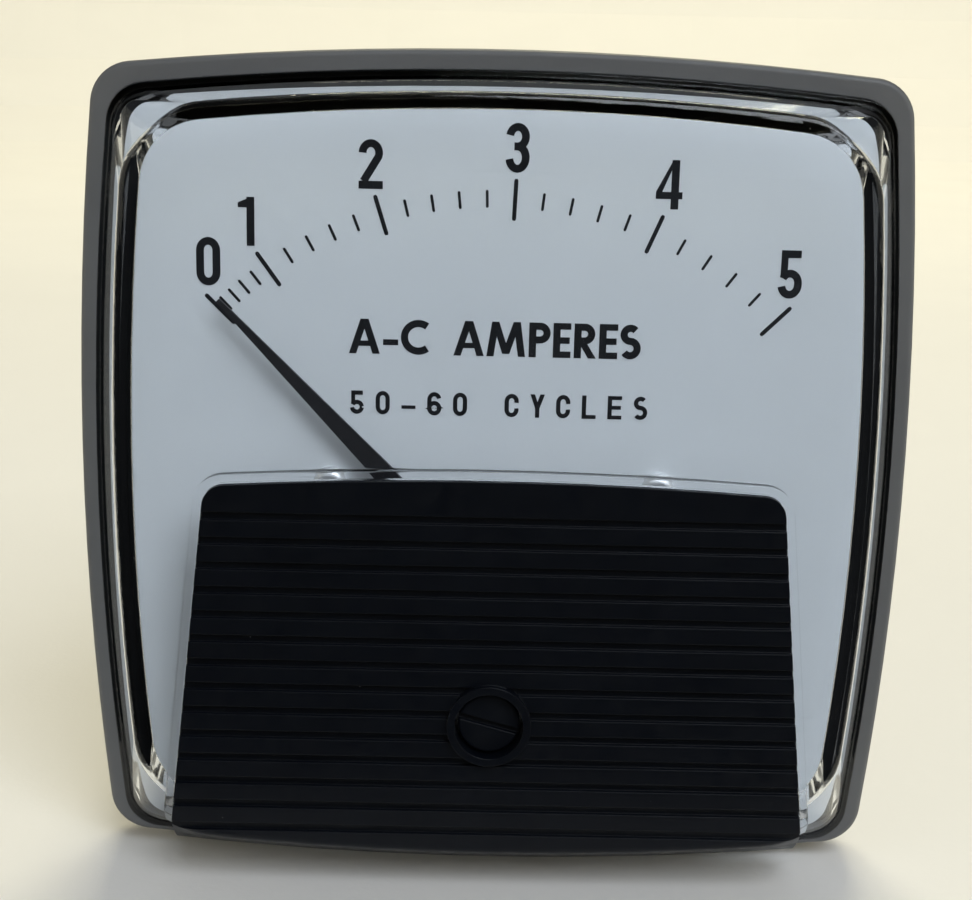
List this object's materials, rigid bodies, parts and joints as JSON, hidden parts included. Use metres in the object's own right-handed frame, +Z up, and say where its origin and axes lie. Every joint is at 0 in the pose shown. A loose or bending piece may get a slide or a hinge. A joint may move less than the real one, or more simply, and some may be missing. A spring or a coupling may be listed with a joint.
{
  "type": "panel meter",
  "caption": "Flush panel ammeter with square bowed bezel, clear cover, white dial, black pointer, ribbed lower mask, zero adjuster, rear barrel and studs.",
  "frame": {"origin": "on the barrel's axis, in the plane of the flange's rear face, which lies on the panel", "axes": "+Z up as the dial is read, +X to the reader's right, +Y away from the reader, into the panel"},
  "size_m": [0.0748, 0.0659, 0.0751],
  "materials": {
    "base_plastic": "matte",
    "clear_plastic": "gloss",
    "mask_plastic": "satin",
    "black_rubber": "matte",
    "dial_paint": "matte",
    "bright_steel": "satin",
    "frame_aluminium": "satin",
    "brass": "satin",
    "tinned_brass": "satin",
    "sapphire": "gloss",
    "nylon": "matte",
    "enamelled_copper": "gloss",
    "magnet": "matte",
    "lead_insulation": "satin",
    "spring_bronze": "satin",
    "pointer_paint": "matte",
    "pointer_aluminium": "satin"
  },
  "bodies": {
    "case": {"arm_retaining_ring": "bright_steel", "base_housing": "base_plastic", "clear_cover": "clear_plastic", "coil_bobbin": "nylon", "coil_clamp_washer": "nylon", "cover_gasket": "black_rubber", "damping_magnets": "magnet", "dial_plate": "dial_paint", "dial_screws": "bright_steel", "field_coil": "enamelled_copper", "fixed_vane": "bright_steel", "frame_pillars": "brass", "front_bridge": "brass", "front_bridge_screws": "bright_steel", "front_jewel": "sapphire", "front_jewel_screw": "brass", "front_locknut": "brass", "left_coil_lead": "lead_insulation", "lower_mask": "mask_plastic", "magnet_yoke": "bright_steel", "mounting_studs": "bright_steel", "movement_frame": "frame_aluminium", "movement_screws": "bright_steel", "pointer_stops": "brass", "rear_bridge": "brass", "rear_bridge_screws": "bright_steel", "rear_jewel": "sapphire", "rear_jewel_screw": "brass", "rear_locknut": "brass", "right_coil_lead": "lead_insulation", "terminal_lugs": "tinned_brass", "terminal_nuts": "brass", "terminal_studs": "brass", "terminal_washers": "bright_steel"},
    "zero_adjuster": {"zero_screw": "mask_plastic", "zero_retainer": "bright_steel"},
    "zero_arm": {"zero_arm": "brass", "hairspring": "spring_bronze", "spring_stud": "brass"},
    "moving_element": {"staff": "bright_steel", "spring_collet": "brass", "pointer": "pointer_paint", "balance_cross": "pointer_aluminium", "balance_weights": "brass", "damping_vane": "pointer_aluminium", "moving_vane": "bright_steel"}
  },
  "joints": [
    {"name": "zero_adjust", "type": "hinge", "parent": "case", "child": "zero_adjuster", "pos_m": [0, -0.0135, -0.0202], "axis": [0, 1, 0], "range_deg": [-30, 30]},
    {"name": "zero_shift", "type": "hinge", "parent": "case", "child": "zero_arm", "pos_m": [0, -0.0059, -0.0085], "axis": [0, 1, 0], "range_deg": [-3.6, 3.6]},
    {"name": "pointer_swing", "type": "hinge", "parent": "zero_arm", "child": "moving_element", "pos_m": [0, -0.0029, -0.0085], "axis": [0, 1, 0], "range_deg": [-2, 90], "stiffness_Nm_per_rad": 0.00002}
  ],
  "couplings": [
    {"joint": "zero_shift", "follows": "zero_adjust", "ratio": -0.11429}
  ]
}
